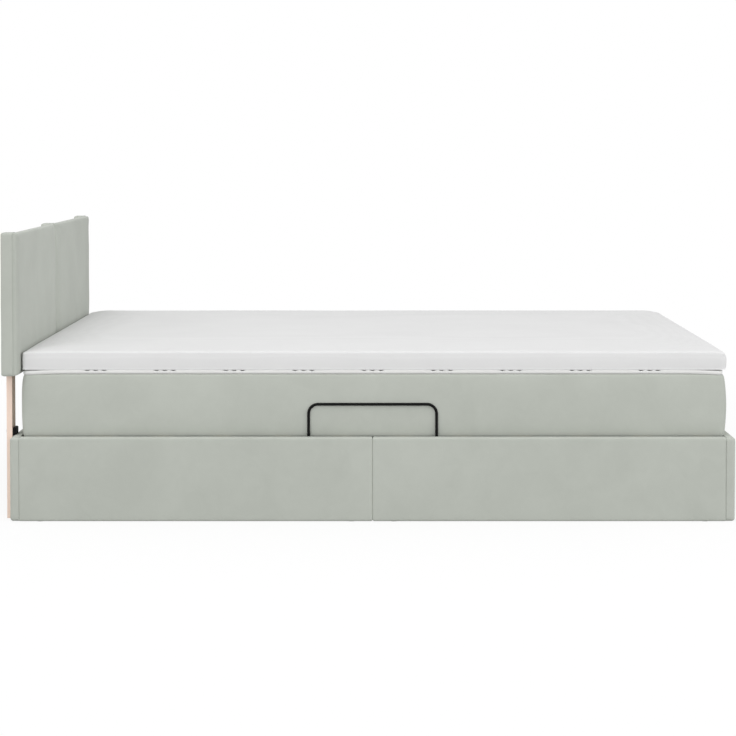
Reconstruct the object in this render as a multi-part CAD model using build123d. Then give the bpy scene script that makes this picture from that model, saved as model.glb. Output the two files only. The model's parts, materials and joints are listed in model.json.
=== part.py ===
from build123d import *
import math
import os

# Storage bed. Millimetres, +Z up. The head is at -X, the foot at +X, the side that lifts at -Y.
# The origin is the centre of the footprint, on the floor.

# Mattress
mattress_length = 2002
mattress_width = 1400
mattress_height = 200
mattress_bulge = 7
mattress_corner = 30
mattress_sunk = 10
corner_inset_share = 0.25
border_thickness = 22
mattress_top_height = 11
mattress_bottom_height = 4
mattress_top_flat_inset = 34
channel_pitch = 196.5
channel_spacing = 24
channel_width = 6
channel_groups = 9
channels_in_group = 3

# Topper
topper_height = 59.7
topper_seat_gap = 0.3
topper_head_gap = 1
topper_foot_overhang = 0.5
topper_corner = 24
topper_crown_inset = 60

# Base panels
base_height = 238
panel_board = 21.5
cover_thickness = 3
head_gap = 2.5
foot_overhang = 3.5
side_gap = 11
panel_edge_radius = 8
seam_radius = 2.5
glide_height = 1
glide_radius = 9
glide_inset = 60

# Storage floor
floor_batten_height = 20
floor_batten_width = 40
floor_batten_count = 5
floor_board_thickness = 6
floor_board_count = 4
floor_edge_gap = 2

# Steel fixings of the base
bracket_leg = 30
bracket_thickness = 3
corner_bracket_height = 90
corner_bracket_bottom = 45
joining_plate_length = 160
joining_plate_height = 70
screw_radius = 2
screw_head_radius = 4
screw_length = 15
bolt_radius = 3
bolt_head_radius = 6
bolt_head_height = 4
bolt_length = 14
bolt_height_shares = (0.25, 0.75)
plate_hole_share = 0.36

# Support battens inside the panels
batten_size = 30
batten_end_gap = 40
batten_screw_length = 42
batten_screw_inset = 120

# Lift frame
slat_thickness = 8
slat_width = 53
slat_pitch = 170
slat_end_gap = 4
slat_row_inset = 50
holder_base = 2
holder_wall = 3
holder_length = 44
tube_height = 40
tube_width = 30
tube_wall = 1.5
frame_end_inset = 12.5
cap_thickness = 3
cap_plug = 12

# Retaining bars
bar_radius = 4
bar_span = 363
bar_rise = 95
bar_corner_radius = 27
bar_foot_radius = 12
bar_foot_length = 14
bar_stand_off = 5
saddle_length = 12
saddle_width = 20
saddle_wall = 1.5

# Hinges on the far side
hinge_stations_share = (-0.36, 0.0, 0.36)
hinge_length = 80
leaf_thickness = 1.8
leaf_gap = 0.2
leaf_drop = 50
knuckle_radius = 5
knuckle_over_panel = 1.5
knuckle_count = 5
knuckle_gap = 0.3
hinge_pin_radius = 2.5
running_clearance = 0.05
pin_overhang = 1.5
leaf_hole_share = 0.3
leaf_screw_drop_share = 0.6

# Gas struts
strut_reach = 190
strut_top_below_hinge = 46.5
strut_foot_inset = 31
strut_foot_height = 60
strut_end_clearance = 56
strut_eye_thickness = 10
strut_eye_radius = 10
strut_pin_radius = 4
open_eye_clearance = 3.9
open_eye_wall = 3.1
cylinder_radius = 10
cylinder_wall = 3
cylinder_start = 14
cylinder_neck_radius = 4
strut_rod_radius = 4
strut_rod_shown = 31
piston_gap = 16
piston_length = 12
clevis_ear = 3
clevis_gap = 0.5
strut_plate_width = 50
strut_plate_height = 56
strut_lug_width = 36
strut_hole_share = 0.36

# Headboard
headboard_rise = 173
headboard_height = 406
headboard_thickness = 48
pad_thickness = 16
rib_width = 55
middle_rib_width = 60
rib_rise = 2
pad_edge_radius = 7
rib_edge_radius = 7
board_top_drop = 9
leg_gap = 1.5
leg_thickness = 15.5
leg_width = 55
leg_back_inset = 4.5
leg_top_inset = 30
leg_screw_length = 25
leg_screw_pitch = 150

# Brackets between the headboard legs and the base
hook_width = 36
hook_depth = 10
hook_rise = 21
hook_drop = 90
hook_radius = 4
hook_screw_length = 20
hook_screw_share = 0.25
leg_bolt_rise = 9
leg_bolt_radius = 4
leg_bolt_head_radius = 7
leg_bolt_head_height = 4.5
leg_nut_radius = 6.5
leg_nut_height = 4

# Places worked out from the sizes
panel_thickness = panel_board + cover_thickness
inner_half_length = (head_gap + mattress_length - foot_overhang) / 2
inner_half_width = mattress_width / 2 + side_gap
outer_half_width = inner_half_width + panel_thickness
headboard_overhang = leg_gap + leg_thickness + leg_back_inset
overall_half_length = inner_half_length + panel_thickness + headboard_overhang / 2
base_centre = headboard_overhang / 2
head_inner = base_centre - inner_half_length
foot_inner = base_centre + inner_half_length
mattress_head = head_inner + head_gap
mattress_foot = mattress_head + mattress_length
mattress_centre = (mattress_head + mattress_foot) / 2
head_outer = head_inner - panel_thickness
foot_outer = foot_inner + panel_thickness
headboard_back = -overall_half_length
headboard_front = headboard_back + headboard_thickness
headboard_bottom = base_height + headboard_rise
headboard_top = headboard_bottom + headboard_height

mattress_bottom = base_height - mattress_sunk
mattress_top = mattress_bottom + mattress_height
slat_bottom = mattress_bottom - slat_thickness
tube_top = slat_bottom - holder_base
tube_bottom = tube_top - tube_height
batten_bottom = tube_bottom - batten_size
floor_bottom = glide_height + floor_batten_height
floor_top = floor_bottom + floor_board_thickness
joining_plate_bottom = (floor_top + batten_bottom - joining_plate_height) / 2
leg_bolt_height = base_height + leg_bolt_rise

fixed_leaf_inside = inner_half_width - leaf_thickness
moving_leaf_outside = fixed_leaf_inside - leaf_gap
frame_half_width = moving_leaf_outside - leaf_thickness
frame_head = head_inner + frame_end_inset
frame_foot = foot_inner - frame_end_inset
hinge_y = fixed_leaf_inside - leaf_gap / 2
hinge_z = base_height + knuckle_radius + knuckle_over_panel
bar_y = mattress_width / 2 + bar_stand_off

os.makedirs("parts", exist_ok=True)


def block(x_low, x_high, y_low, y_high, z_low, z_high):
    """A box between two corners."""
    centre = ((x_low + x_high) / 2, (y_low + y_high) / 2, (z_low + z_high) / 2)
    return Pos(*centre) * Box(x_high - x_low, y_high - y_low, z_high - z_low)


FACING = {
    "+x": (0, 90, 0),
    "-x": (0, -90, 0),
    "+y": (-90, 0, 0),
    "-y": (90, 0, 0),
}


def placed(shape, x, y, z, facing):
    """A shape whose own +Z is turned to face a direction, at a point."""
    return Location((x, y, z), FACING[facing]) * shape


def round_bar(radius, length):
    """A cylinder that stands on its own origin."""
    return Pos(0, 0, length / 2) * Cylinder(radius, length)


def countersunk(length):
    """A screw whose flat head top lies at its origin and whose shank goes down."""
    head_height = screw_head_radius - screw_radius
    head = Pos(0, 0, -head_height / 2) * Cone(screw_radius, screw_head_radius, head_height)
    return head + Pos(0, 0, -length / 2) * Cylinder(screw_radius, length)


def hex_bolt(radius, head_radius, head_height, length):
    """A bolt whose head stands above its origin and whose shank goes down."""
    head = extrude(RegularPolygon(head_radius, 6), head_height)
    return head + Pos(0, 0, -length / 2) * Cylinder(radius, length)


def without(shape, tools):
    """A shape with several others cut out of it."""
    for tool in tools:
        shape = shape - tool
    return shape


def save(name, *solids):
    """One file for one node, which may be a group of like pieces."""
    pieces = []
    for solid in solids:
        pieces.extend(solid.solids())
    shape = pieces[0] if len(pieces) == 1 else Compound(children=pieces)
    export_step(shape, f"parts/{name}.step")


def rounded(length, width, corner, inset, centre, height):
    """A rounded rectangle drawn in by an inset, at a height."""
    plan = RectangleRounded(length - 2 * inset, width - 2 * inset, corner - inset * corner_inset_share)
    return Pos(centre, 0, height) * plan


wood_screws = []

# Base panels: a board in a velvet cover that leaves the inner face of the board open


def side_panel(side, x_low, x_high):
    inner = side * inner_half_width
    outer = side * outer_half_width
    board_outer = side * (outer_half_width - cover_thickness)
    y_low, y_high = sorted((inner, outer))
    outside = block(x_low, x_high, y_low, y_high, glide_height, base_height)
    b_low, b_high = sorted((inner, board_outer))
    board = block(
        x_low + cover_thickness, x_high - cover_thickness, b_low, b_high,
        glide_height + cover_thickness, base_height - cover_thickness)
    face = outside.faces().sort_by(Axis.Y)[-1 if side > 0 else 0]
    cover = fillet(face.edges(), seam_radius) - board
    return board, cover


def end_panel(side, inner, outer):
    x_low, x_high = sorted((inner, outer))
    outside = block(x_low, x_high, -outer_half_width, outer_half_width, glide_height, base_height)
    b_low, b_high = sorted((inner, outer - side * cover_thickness))
    board_half = outer_half_width - cover_thickness
    board = block(
        b_low, b_high, -board_half, board_half,
        glide_height + cover_thickness, base_height - cover_thickness)
    board_face = board.faces().sort_by(Axis.X)[-1 if side > 0 else 0]
    board = fillet(board_face.edges(), panel_edge_radius - cover_thickness)
    face = outside.faces().sort_by(Axis.X)[-1 if side > 0 else 0]
    cover = fillet(face.edges(), panel_edge_radius) - board
    return board, cover


side_halves = {}
for side_name, side in (("near", -1), ("far", 1)):
    for end_name, x_low, x_high in (("head", head_inner, base_centre), ("foot", base_centre, foot_inner)):
        side_halves[side_name, end_name] = side_panel(side, x_low, x_high)
end_panels = {
    "head": end_panel(-1, head_inner, head_outer),
    "foot": end_panel(1, foot_inner, foot_outer),
}

# Corner brackets: steel angles in the four inner corners, bolted to both boards


def corner_bracket(end_sign, side):
    x = base_centre + end_sign * inner_half_length
    y = side * inner_half_width
    top = corner_bracket_bottom + corner_bracket_height
    xs = sorted((x, x - end_sign * bracket_leg))
    ys = sorted((y, y - side * bracket_leg))
    thin_x = sorted((x, x - end_sign * bracket_thickness))
    thin_y = sorted((y, y - side * bracket_thickness))
    angle = block(*thin_x, *ys, corner_bracket_bottom, top) + block(*xs, *thin_y, corner_bracket_bottom, top)
    bolts = []
    middle = (bracket_leg + bracket_thickness) / 2
    for share in bolt_height_shares:
        z = corner_bracket_bottom + share * corner_bracket_height
        bolt = hex_bolt(bolt_radius, bolt_head_radius, bolt_head_height, bolt_length)
        x_face = "-x" if end_sign > 0 else "+x"
        y_face = "-y" if side > 0 else "+y"
        bolts.append(placed(bolt, x - end_sign * bracket_thickness, y - side * middle, z, x_face))
        bolts.append(placed(bolt, x - end_sign * middle, y - side * bracket_thickness, z, y_face))
    return without(angle, bolts), bolts


corner_brackets = []
corner_bolts = []
for end_sign in (-1, 1):
    for side in (-1, 1):
        angle, bolts = corner_bracket(end_sign, side)
        corner_brackets.append(angle)
        corner_bolts.extend(bolts)

# Joining plates behind the seams of the two side panels
joining_plates = []
for side in (-1, 1):
    y_wall = side * inner_half_width
    y_face = y_wall - side * bracket_thickness
    half = joining_plate_length / 2
    top = joining_plate_bottom + joining_plate_height
    plate = block(base_centre - half, base_centre + half, *sorted((y_wall, y_face)), joining_plate_bottom, top)
    screws = []
    for x_share in (-plate_hole_share, plate_hole_share):
        for z_share in bolt_height_shares:
            x = base_centre + x_share * joining_plate_length
            z = joining_plate_bottom + z_share * joining_plate_height
            screws.append(placed(countersunk(screw_length), x, y_face, z, "-y" if side > 0 else "+y"))
    joining_plates.append(without(plate, screws))
    wood_screws.extend(screws)

# Support battens: the closed lift frame rests on them
support_battens = []
for side in (-1, 1):
    ys = sorted((side * inner_half_width, side * (inner_half_width - batten_size)))
    y_face = side * (inner_half_width - batten_size)
    for x_low, x_high in ((head_inner, base_centre), (base_centre, foot_inner)):
        batten = block(x_low + batten_end_gap, x_high - batten_end_gap, *ys, batten_bottom, tube_bottom)
        screws = []
        for x in (x_low + batten_screw_inset, (x_low + x_high) / 2, x_high - batten_screw_inset):
            z = batten_bottom + batten_size / 2
            screws.append(placed(countersunk(batten_screw_length), x, y_face, z, "-y" if side > 0 else "+y"))
        support_battens.append(without(batten, screws))
        wood_screws.extend(screws)
for end_sign, inner in ((-1, head_inner), (1, foot_inner)):
    x_face = inner - end_sign * batten_size
    half = inner_half_width - batten_size - batten_end_gap
    batten = block(*sorted((inner, x_face)), -half, half, batten_bottom, tube_bottom)
    screws = []
    for y in (-half + batten_screw_inset, 0, half - batten_screw_inset):
        z = batten_bottom + batten_size / 2
        screws.append(placed(countersunk(batten_screw_length), x_face, y, z, "-x" if end_sign > 0 else "+x"))
    support_battens.append(without(batten, screws))
    wood_screws.extend(screws)

# Storage floor: boards side by side on battens that cross the base
floor_battens = []
batten_step = 2 * (inner_half_length - floor_batten_width / 2 - floor_edge_gap) / (floor_batten_count - 1)
for index in range(floor_batten_count):
    x = base_centre + (index - (floor_batten_count - 1) / 2) * batten_step
    half = floor_batten_width / 2
    floor_battens.append(
        block(x - half, x + half, -inner_half_width, inner_half_width, glide_height, floor_bottom))
floor_boards = []
board_step = 2 * inner_half_length / floor_board_count
for index in range(floor_board_count):
    x = head_inner + index * board_step
    half = inner_half_width - floor_edge_gap
    floor_boards.append(
        block(x + floor_edge_gap / 2, x + board_step - floor_edge_gap / 2, -half, half, floor_bottom, floor_top))

# Glides under the panels
glides = []
for side in (-1, 1):
    y = side * (inner_half_width + panel_thickness / 2)
    for x_low, x_high in ((head_inner, base_centre), (base_centre, foot_inner)):
        for x in (x_low + glide_inset, x_high - glide_inset):
            glides.append(Pos(x, y, 0) * round_bar(glide_radius, glide_height))
for x in (head_inner - panel_thickness / 2, foot_inner + panel_thickness / 2):
    for y in (-inner_half_width, 0, inner_half_width):
        glides.append(Pos(x, y, 0) * round_bar(glide_radius, glide_height))

# Lift frame tubes: hollow rectangles, the head and foot tubes across, the long ones between them


def tube_along_x(x_low, x_high, y):
    half = tube_width / 2
    outside = block(x_low, x_high, y - half, y + half, tube_bottom, tube_top)
    inside = block(
        x_low, x_high, y - half + tube_wall, y + half - tube_wall,
        tube_bottom + tube_wall, tube_top - tube_wall)
    return outside - inside


def tube_along_y(y_low, y_high, x):
    half = tube_width / 2
    outside = block(x - half, x + half, y_low, y_high, tube_bottom, tube_top)
    inside = block(
        x - half + tube_wall, x + half - tube_wall, y_low, y_high,
        tube_bottom + tube_wall, tube_top - tube_wall)
    return outside - inside


tube_half = tube_width / 2
long_low = frame_head + tube_width
long_high = frame_foot - tube_width
tube_y = frame_half_width - tube_half
tube_near = tube_along_x(long_low, long_high, -tube_y)
tube_far = tube_along_x(long_low, long_high, tube_y)
tube_centre = tube_along_x(long_low, long_high, 0)
cap_reach = frame_half_width - cap_thickness
tube_head = tube_along_y(-cap_reach, cap_reach, frame_head + tube_half)
tube_foot = tube_along_y(-cap_reach, cap_reach, frame_foot - tube_half)
cross_tubes = []
for side in (-1, 1):
    ends = sorted((side * tube_half, side * (frame_half_width - tube_width)))
    cross_tubes.append(tube_along_y(*ends, base_centre))

# Plastic caps that close the ends of the head and foot tubes
tube_caps = []
for x in (frame_head + tube_half, frame_foot - tube_half):
    for side in (-1, 1):
        plate_ys = sorted((side * cap_reach, side * frame_half_width))
        plug_ys = sorted((side * cap_reach, side * (cap_reach - cap_plug)))
        plug_half = tube_half - tube_wall
        plate = block(x - tube_half, x + tube_half, *plate_ys, tube_bottom, tube_top)
        plug = block(
            x - plug_half, x + plug_half, *plug_ys, tube_bottom + tube_wall, tube_top - tube_wall)
        tube_caps.append(plate + plug)

# Slats in two columns, with their ends in plastic holders on the tubes
slat_reach = frame_half_width - slat_end_gap
slat_rows = 2 * int((frame_foot - base_centre - slat_row_inset) / slat_pitch + 1 / 2)
slats_near = []
slats_far = []
slat_holders = []
for row in range(slat_rows):
    x = base_centre + (row - (slat_rows - 1) / 2) * slat_pitch
    half = slat_width / 2
    near = block(x - half, x + half, -slat_reach, -slat_end_gap / 2, slat_bottom, mattress_bottom)
    far = block(x - half, x + half, slat_end_gap / 2, slat_reach, slat_bottom, mattress_bottom)
    slats_near.append(near)
    slats_far.append(far)
    outer_half = half + holder_wall
    for y_low, y_high in (
            (-frame_half_width, -frame_half_width + holder_length),
            (-holder_length, holder_length),
            (frame_half_width - holder_length, frame_half_width)):
        cup = block(x - outer_half, x + outer_half, y_low, y_high, tube_top, mattress_bottom)
        slat_holders.append(without(cup, (near, far)))

# Retaining bars: a bent rod at the middle of each long side, its feet over the frame tube


def retaining_bar(side):
    foot_z = tube_top + bar_radius
    top_z = base_height + bar_rise - bar_radius
    y_up = side * bar_y
    y_in = side * (bar_y - bar_foot_radius - bar_foot_length)
    x_low = base_centre - bar_span / 2
    x_high = base_centre + bar_span / 2
    route = FilletPolyline(
        (x_low, y_in, foot_z), (x_low, y_up, foot_z), (x_low, y_up, top_z),
        (x_high, y_up, top_z), (x_high, y_up, foot_z), (x_high, y_in, foot_z),
        radius=[bar_foot_radius, bar_corner_radius, bar_corner_radius, bar_foot_radius])
    section = Plane(origin=route @ 0, z_dir=route % 0) * Circle(bar_radius)
    return sweep(section, path=route)


def bar_saddle(side, x):
    """A strap over the end of a bar's foot, open below."""
    half = saddle_width / 2
    y_end = side * (bar_y - bar_foot_radius - bar_foot_length)
    y_start = y_end + side * saddle_length
    top = tube_top + 2 * bar_radius + saddle_wall
    strap = block(x - half, x + half, *sorted((y_end, y_start)), tube_top, top)
    arch = Circle(bar_radius) + Pos(0, -bar_radius / 2) * Rectangle(2 * bar_radius, bar_radius)
    passage = extrude(Plane.XZ * arch, saddle_length, both=True)
    return strap - Pos(x, (y_start + y_end) / 2, tube_top + bar_radius) * passage


bar_near = retaining_bar(-1)
bar_far = retaining_bar(1)
bar_saddles = []
for side in (-1, 1):
    for x in (base_centre - bar_span / 2, base_centre + bar_span / 2):
        bar_saddles.append(bar_saddle(side, x))

# Butt hinges: both leaves hang in the gap between the frame and the far panel

knuckle_pitch = hinge_length / knuckle_count
leaf_bottom = hinge_z - knuckle_radius - leaf_drop
knuckle_notch = knuckle_radius + knuckle_gap


def hinge_leaf(x_centre, y_low, y_high, own_parity):
    """A leaf with its own knuckles, notched where the other leaf's knuckles turn."""
    start = x_centre - hinge_length / 2
    leaf = block(start, start + hinge_length, y_low, y_high, leaf_bottom, hinge_z)
    for index in range(knuckle_count):
        low = start + index * knuckle_pitch
        if index % 2 == own_parity:
            length = knuckle_pitch - knuckle_gap
            knuckle = placed(round_bar(knuckle_radius, length), low + knuckle_gap / 2, hinge_y, hinge_z, "+x")
            leaf = leaf + knuckle
        else:
            side_cut = block(
                low - knuckle_gap / 2, low + knuckle_pitch + knuckle_gap / 2,
                hinge_y - knuckle_notch, hinge_y + knuckle_notch, hinge_z - knuckle_notch, hinge_z)
            leaf = leaf - side_cut
    bore = placed(
        round_bar(hinge_pin_radius + running_clearance, 2 * hinge_length),
        x_centre - hinge_length, hinge_y, hinge_z, "+x")
    return leaf - bore


fixed_leaves = []
moving_leaves = []
hinge_pins = []
for share in hinge_stations_share:
    x = base_centre + share * 2 * inner_half_length
    fixed = hinge_leaf(x, fixed_leaf_inside, inner_half_width, 0)
    screws = []
    for x_share in (-leaf_hole_share, leaf_hole_share):
        z = hinge_z - knuckle_radius - leaf_screw_drop_share * leaf_drop
        screws.append(placed(countersunk(screw_length), x + x_share * hinge_length, fixed_leaf_inside, z, "-y"))
    fixed_leaves.append(without(fixed, screws))
    wood_screws.extend(screws)
    moving_leaves.append(hinge_leaf(x, frame_half_width, moving_leaf_outside, 1))
    pin_length = hinge_length + 2 * pin_overhang
    hinge_pins.append(
        placed(round_bar(hinge_pin_radius, pin_length), x - pin_length / 2, hinge_y, hinge_z, "+x"))

# Gas struts: one near each end, from the far panel up to the end tube of the lift frame
foot_y = inner_half_width - strut_foot_inset
foot_z = strut_foot_height
top_y = hinge_y - strut_reach
top_z = hinge_z - strut_top_below_hinge
strut_length = math.hypot(foot_y - top_y, top_z - foot_z)
strut_tilt = math.degrees(math.atan2(foot_y - top_y, top_z - foot_z))
cylinder_end = strut_length - strut_rod_shown
piston_start = cylinder_start + cylinder_wall + piston_gap
open_eye_radius = strut_pin_radius + open_eye_clearance + open_eye_wall


def along_strut(shape, x):
    """A shape made along +Z from the strut's lower pivot, laid on the strut's line."""
    return Location((x, foot_y, foot_z), (strut_tilt, 0, 0)) * shape


def strut_cylinder(x):
    eye = Rot(0, 90, 0) * Cylinder(strut_eye_radius, strut_eye_thickness)
    neck = round_bar(cylinder_neck_radius, cylinder_start)
    body = Pos(0, 0, cylinder_start) * round_bar(cylinder_radius, cylinder_end - cylinder_start)
    bore = Pos(0, 0, cylinder_start + cylinder_wall) * round_bar(
        cylinder_radius - cylinder_wall, cylinder_end - cylinder_start - 2 * cylinder_wall)
    gland = Pos(0, 0, cylinder_start + cylinder_wall) * round_bar(
        strut_rod_radius + running_clearance, cylinder_end)
    eye_hole = Rot(0, 90, 0) * Cylinder(strut_pin_radius + running_clearance, 2 * strut_eye_thickness)
    return along_strut(eye + neck + body - bore - gland - eye_hole, x)


def strut_rod(x):
    eye = Pos(0, 0, strut_length) * Rot(0, 90, 0) * Cylinder(open_eye_radius, strut_eye_thickness)
    hole = Pos(0, 0, strut_length) * Rot(0, 90, 0) * Cylinder(
        strut_pin_radius + open_eye_clearance, 2 * strut_eye_thickness)
    shaft = Pos(0, 0, piston_start) * round_bar(strut_rod_radius, strut_length - piston_start)
    piston = Pos(0, 0, piston_start) * round_bar(
        cylinder_radius - cylinder_wall - running_clearance, piston_length)
    return along_strut(eye + shaft + piston - hole, x)


def strut_foot_bracket(x):
    """A plate on the far panel with two ears and the pin between them."""
    half_width = strut_plate_width / 2
    half_height = strut_plate_height / 2
    plate = block(
        x - half_width, x + half_width, inner_half_width - clevis_ear, inner_half_width,
        foot_z - half_height, foot_z + half_height)
    ear_inside = strut_eye_thickness / 2 + clevis_gap
    for side in (-1, 1):
        xs = sorted((x + side * ear_inside, x + side * (ear_inside + clevis_ear)))
        ear = block(
            *xs, foot_y, inner_half_width - clevis_ear,
            foot_z - strut_eye_radius, foot_z + strut_eye_radius)
        tip = placed(round_bar(strut_eye_radius, clevis_ear), xs[0], foot_y, foot_z, "+x")
        plate = plate + ear + tip
    pin_length = 2 * (ear_inside + clevis_ear)
    pin = placed(round_bar(strut_pin_radius, pin_length), x - pin_length / 2, foot_y, foot_z, "+x")
    screws = []
    for x_share in (-strut_hole_share, strut_hole_share):
        for z_share in (-strut_hole_share, strut_hole_share):
            screws.append(placed(
                countersunk(screw_length), x + x_share * strut_plate_width,
                inner_half_width - clevis_ear, foot_z + z_share * strut_plate_height, "-y"))
    return without(plate + pin, screws), screws


def strut_lift_bracket(x, end_sign, tube_face):
    """A plate on the inner face of the end tube with a stud for the rod's eye."""
    half = strut_lug_width / 2
    plate_inside = tube_face - end_sign * clevis_ear
    plate = block(*sorted((tube_face, plate_inside)), top_y - half, top_y + half, tube_bottom, tube_top)
    stud_length = abs(plate_inside - x) + strut_eye_thickness / 2 + clevis_gap
    facing = "-x" if end_sign > 0 else "+x"
    stud = placed(round_bar(strut_pin_radius, stud_length), plate_inside, top_y, top_z, facing)
    x_washer = plate_inside - end_sign * stud_length
    washer = placed(round_bar(open_eye_radius, clevis_ear), x_washer, top_y, top_z, facing)
    return plate + stud + washer


foot_brackets = []
lift_brackets = []
cylinders = {}
rods = {}
for end_name, end_sign, inner, tube_face in (
        ("head", -1, head_inner, frame_head + tube_width),
        ("foot", 1, foot_inner, frame_foot - tube_width)):
    x = inner - end_sign * strut_end_clearance
    cylinders[end_name] = strut_cylinder(x)
    rods[end_name] = strut_rod(x)
    bracket, screws = strut_foot_bracket(x)
    foot_brackets.append(bracket)
    wood_screws.extend(screws)
    lift_brackets.append(strut_lift_bracket(x, end_sign, tube_face))

# Mattress: a core, a velvet border that swells at mid height, a quilted top and a plain bottom


def swell(height):
    """How far the border is drawn in at a height, from a parabola through its middle."""
    middle = mattress_bottom + mattress_height / 2
    return mattress_bulge * ((height - middle) / (mattress_height / 2)) ** 2


border_low = mattress_bottom + mattress_bottom_height
border_high = mattress_top - mattress_top_height
border_shares = (0.0, 0.1, 0.25, 0.4, 0.6, 0.75, 0.9, 1.0)
border_sections = []
for share in border_shares:
    height = border_low + share * (border_high - border_low)
    border_sections.append(
        rounded(mattress_length, mattress_width, mattress_corner, swell(height), mattress_centre, height))
core_half_length = mattress_length / 2 - border_thickness
core_half_width = mattress_width / 2 - border_thickness
mattress_core = block(
    mattress_centre - core_half_length, mattress_centre + core_half_length,
    -core_half_width, core_half_width, border_low, border_high)
mattress_border = loft(border_sections, ruled=True) - mattress_core

bottom_sections = []
for height in (mattress_bottom, border_low):
    bottom_sections.append(
        rounded(mattress_length, mattress_width, mattress_corner, swell(height), mattress_centre, height))
mattress_bottom_panel = loft(bottom_sections, ruled=True)

# The top panel rises from the border's seam to a flat middle
crown_rise_shares = (0.0, 0.35, 0.65, 0.85, 0.96, 1.0)
crown_inset_shares = (0.0, 0.08, 0.24, 0.46, 0.72, 1.0)
seam_inset = swell(border_high)
top_sections = []
for rise_share, inset_share in zip(crown_rise_shares, crown_inset_shares):
    height = border_high + rise_share * mattress_top_height
    inset = seam_inset + inset_share * (mattress_top_flat_inset - seam_inset)
    top_sections.append(
        rounded(mattress_length, mattress_width, mattress_corner, inset, mattress_centre, height))
mattress_top_panel = loft(top_sections, ruled=True)
for group in range(channel_groups):
    for channel in range(channels_in_group):
        x = base_centre + (group - (channel_groups - 1) / 2) * channel_pitch
        x = x + (channel - (channels_in_group - 1) / 2) * channel_spacing
        groove = Pos(x, 0, mattress_top) * Rot(0, 45, 0) * Box(channel_width, mattress_width, channel_width)
        mattress_top_panel = mattress_top_panel - groove

# Topper: a foam sheet with upright sides, tight upper edges and a low crown
topper_low = headboard_front + topper_head_gap
topper_high = mattress_foot + topper_foot_overhang
topper_length = topper_high - topper_low
topper_centre = (topper_low + topper_high) / 2
topper_rise_shares = (0.0, 0.1, 0.35, 0.58, 0.68, 0.76, 0.87, 0.95, 1.0)
topper_inset_shares = (0.05, 0.01, 0.0, 0.01, 0.03, 0.09, 0.3, 0.58, 1.0)
topper_sections = []
for rise_share, inset_share in zip(topper_rise_shares, topper_inset_shares):
    height = mattress_top + topper_seat_gap + rise_share * topper_height
    topper_sections.append(
        rounded(topper_length, mattress_width, topper_corner, inset_share * topper_crown_inset,
                topper_centre, height))
topper = loft(topper_sections, ruled=True)

# Headboard: two padded halves on backing boards, ribs behind them, two pine legs
board_front = headboard_front - pad_thickness
leg_front = head_outer - leg_gap
leg_back = leg_front - leg_thickness
board_back = leg_front
rib_inside = outer_half_width - rib_width
pad_top = headboard_top - rib_rise
board_top = pad_top - board_top_drop


def headboard_half(side):
    """The padded front, wrapped over the board's top and bottom, and the board behind it."""
    ys = sorted((0, side * outer_half_width))
    pad = block(board_front, headboard_front, *ys, headboard_bottom, pad_top)
    front = pad.faces().sort_by(Axis.X)[-1]
    top_back = pad.edges().filter_by(Axis.Y).sort_by(Axis.X)[:2].sort_by(Axis.Z)[-1]
    pad = fillet([*front.edges(), top_back], pad_edge_radius)
    ys = sorted((0, side * (outer_half_width - cover_thickness)))
    wrap = block(board_back, board_front, *ys, headboard_bottom, board_top + cover_thickness)
    board = block(board_back, board_front, *ys, headboard_bottom + cover_thickness, board_top)
    return pad + wrap - board, board


headboard_halves = {"near": headboard_half(-1), "far": headboard_half(1)}


def rib(y_low, y_high):
    """An upholstered upright behind the boards that also covers their ends and comes over their tops."""
    upright = block(headboard_back, board_front, y_low, y_high, headboard_bottom, headboard_top)
    back = upright.faces().sort_by(Axis.X)[0]
    upright = fillet(back.edges(), rib_edge_radius)
    return without(upright, [piece for half in headboard_halves.values() for piece in half])


ribs = {
    "near": rib(-outer_half_width, -rib_inside),
    "middle": rib(-middle_rib_width / 2, middle_rib_width / 2),
    "far": rib(rib_inside, outer_half_width),
}

# Legs behind the boards, beside the end ribs, and what ties them to the head end panel


def leg_set(side):
    """One leg with its hook bracket, bolt and nut, and the screws that hold them."""
    ys = sorted((side * rib_inside, side * (rib_inside - leg_width)))
    y = sum(ys) / 2
    leg_top = headboard_top - leg_top_inset
    leg = block(leg_back, leg_front, *ys, 0, leg_top)
    screws = []
    for index in range(int((leg_top - headboard_bottom) // leg_screw_pitch)):
        z = headboard_bottom + (index + 1 / 2) * leg_screw_pitch
        screws.append(placed(countersunk(leg_screw_length), leg_back, y, z, "-x"))
    hook_ys = (y - hook_width / 2, y + hook_width / 2)
    hook_face = leg_front + hook_depth
    tongue = block(leg_front, head_outer, *hook_ys, base_height - hook_drop, base_height)
    head = block(leg_front, hook_face, *hook_ys, base_height, base_height + hook_rise)
    head = fillet(head.edges().filter_by(Axis.Y).group_by(Axis.Z)[-1], hook_radius)
    hook = tongue + head
    for share in (-hook_screw_share, hook_screw_share):
        z = base_height - hook_drop / 2 + share * hook_drop
        screws.append(placed(countersunk(hook_screw_length), leg_front, y, z, "-x"))
    bolt_head = fillet(
        round_bar(leg_bolt_head_radius, leg_bolt_head_height).edges().group_by(Axis.Z)[-1],
        leg_bolt_head_height / 2)
    shank_length = hook_face - leg_back
    bolt = bolt_head + Pos(0, 0, -shank_length) * round_bar(leg_bolt_radius, shank_length)
    bolt = placed(bolt, leg_back, y, leg_bolt_height, "-x")
    nut = extrude(RegularPolygon(leg_nut_radius, 6), leg_nut_height)
    nut = placed(nut, hook_face - leg_nut_height, y, leg_bolt_height, "+x") - bolt
    leg = without(leg, [bolt, *screws])
    hook = without(hook, [bolt, nut, *screws])
    return leg, hook, bolt, nut, screws


leg_sets = {"near": leg_set(-1), "far": leg_set(1)}
for leg_pieces in leg_sets.values():
    wood_screws.extend(leg_pieces[4])


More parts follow.
